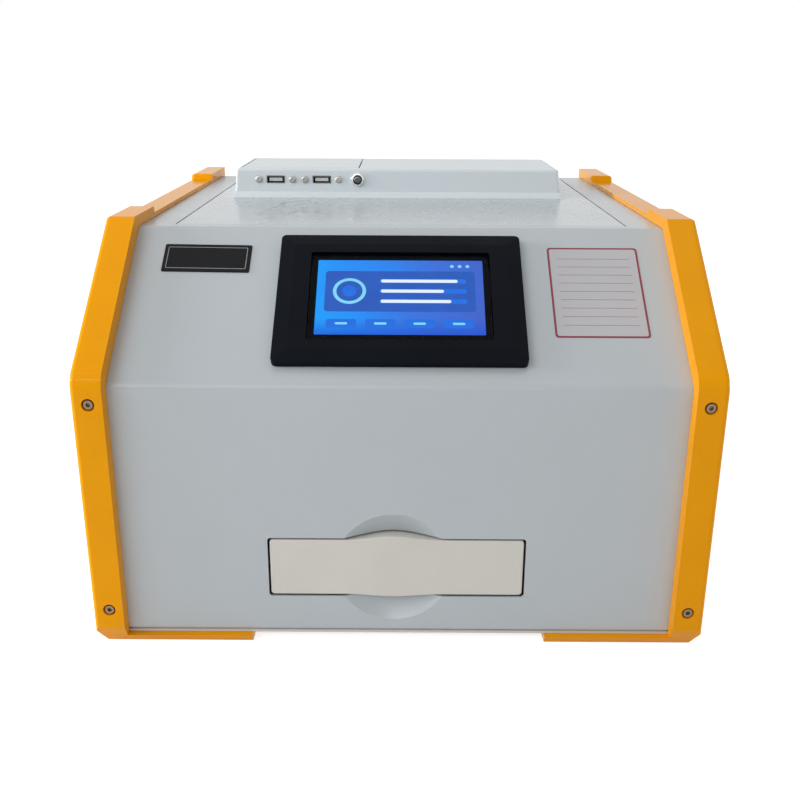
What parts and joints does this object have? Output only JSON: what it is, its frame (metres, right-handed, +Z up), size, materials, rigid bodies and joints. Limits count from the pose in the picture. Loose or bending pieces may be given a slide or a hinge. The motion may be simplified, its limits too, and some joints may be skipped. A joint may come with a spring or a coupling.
{
  "type": "hard drive degausser",
  "caption": "Bench-top degausser for hard drives: sheet-metal body between moulded cheeks, sloping touch panel, pull-out drive drawer and a hood with data sockets.",
  "frame": {"origin": "middle of the footprint on the floor, under the foot pads", "axes": "+Z up, -Y out of the front panel, +X to the right seen from the front"},
  "size_m": [0.352, 0.4, 0.25],
  "materials": {
    "grey_paint": "satin",
    "orange_shell": "satin",
    "rubber": "matte",
    "screw_steel": "satin",
    "socket_steel": "satin",
    "black_plastic": "satin",
    "chrome": "polished",
    "dark_chrome": "polished",
    "pale_plastic": "satin",
    "contact_metal": "satin",
    "board": "satin",
    "bezel_plastic": "satin",
    "touch_glass": "gloss",
    "display": "gloss",
    "drawer_plastic": "satin",
    "tray_plastic": "satin",
    "insulator": "satin",
    "copper": "satin",
    "board_parts": "satin",
    "bracket_steel": "satin",
    "can": "satin",
    "heat_sink": "matte",
    "core_steel": "matte",
    "resistor": "satin",
    "guard_wire": "satin",
    "rocker_plastic": "gloss"
  },
  "bodies": {
    "chassis": {"base_pan": "grey_paint", "body_shell": "grey_paint", "finger_cup": "grey_paint", "top_cover": "grey_paint", "rear_panel": "grey_paint", "hood": "grey_paint", "right_cheek": "orange_shell", "left_cheek": "orange_shell", "foot_pads": "rubber", "cheek_screws": "screw_steel", "cheek_nuts": "screw_steel", "hinge_pin": "screw_steel", "data_ports": "socket_steel", "port_tongues": "pale_plastic", "port_screws": "screw_steel", "button_bushing": "chrome", "button_nut": "screw_steel", "drive_dock": "black_plastic", "dock_contacts": "contact_metal", "data_board": "board", "touch_bezel": "bezel_plastic", "touch_glass": "touch_glass", "touch_display": "display", "touch_case": "black_plastic", "touch_gasket": "rubber", "touch_clamps": "screw_steel", "chamber_liner": "insulator", "degauss_coil": "copper", "liner_plates": "insulator", "board_shelf": "insulator", "board_posts": "contact_metal", "control_board": "board", "board_parts": "board_parts", "lock_bracket": "bracket_steel", "lock_solenoid": "bracket_steel", "drawer_sensor": "black_plastic", "storage_capacitors": "can", "capacitor_terminals": "contact_metal", "capacitor_clamps": "bracket_steel", "bus_bars": "copper", "heat_sink": "heat_sink", "thyristor_module": "black_plastic", "transformer_core": "core_steel", "transformer_winding": "copper", "bleed_resistor": "resistor", "fan_frame": "black_plastic", "fan_guard": "guard_wire", "fan_screws": "screw_steel", "mains_inlet": "black_plastic", "inlet_pins": "contact_metal", "fuse_drawer": "black_plastic"},
    "drawer": {"drawer_front": "drawer_plastic", "drawer_tray": "tray_plastic", "drive_pad": "rubber", "drawer_screws": "screw_steel"},
    "lid": {"dock_lid": "grey_paint"},
    "button": {"button_cap": "dark_chrome"},
    "switch_rocker": {"rocker": "rocker_plastic"},
    "fan_wheel": {"fan_rotor": "black_plastic"},
    "lock": {"lock_bolt": "screw_steel"}
  },
  "joints": [
    {"name": "drawer_slide", "type": "slide", "parent": "chassis", "child": "drawer", "axis": [0, -1, 0], "range_m": [0, 0.18]},
    {"name": "lid_hinge", "type": "hinge", "parent": "chassis", "child": "lid", "pos_m": [-0.07535, 0.124, 0.2482], "axis": [-1, 0, 0], "range_deg": [0, 95]},
    {"name": "button_press", "type": "slide", "parent": "chassis", "child": "button", "axis": [0, 1, 0], "range_m": [0, 0.0015], "stiffness_N_per_m": 600},
    {"name": "rocker_tilt", "type": "hinge", "parent": "chassis", "child": "switch_rocker", "pos_m": [-0.11, 0.192, 0.135], "axis": [-1, 0, 0], "range_deg": [0, 16]},
    {"name": "fan_spin", "type": "hinge", "parent": "chassis", "child": "fan_wheel", "pos_m": [0.095, 0.177, 0.165], "axis": [0, 1, 0], "continuous": true},
    {"name": "lock_drop", "type": "slide", "parent": "chassis", "child": "lock", "axis": [0, 0, -1], "range_m": [0, 0.01], "stiffness_N_per_m": 150, "springref_m": -0.004}
  ]
}
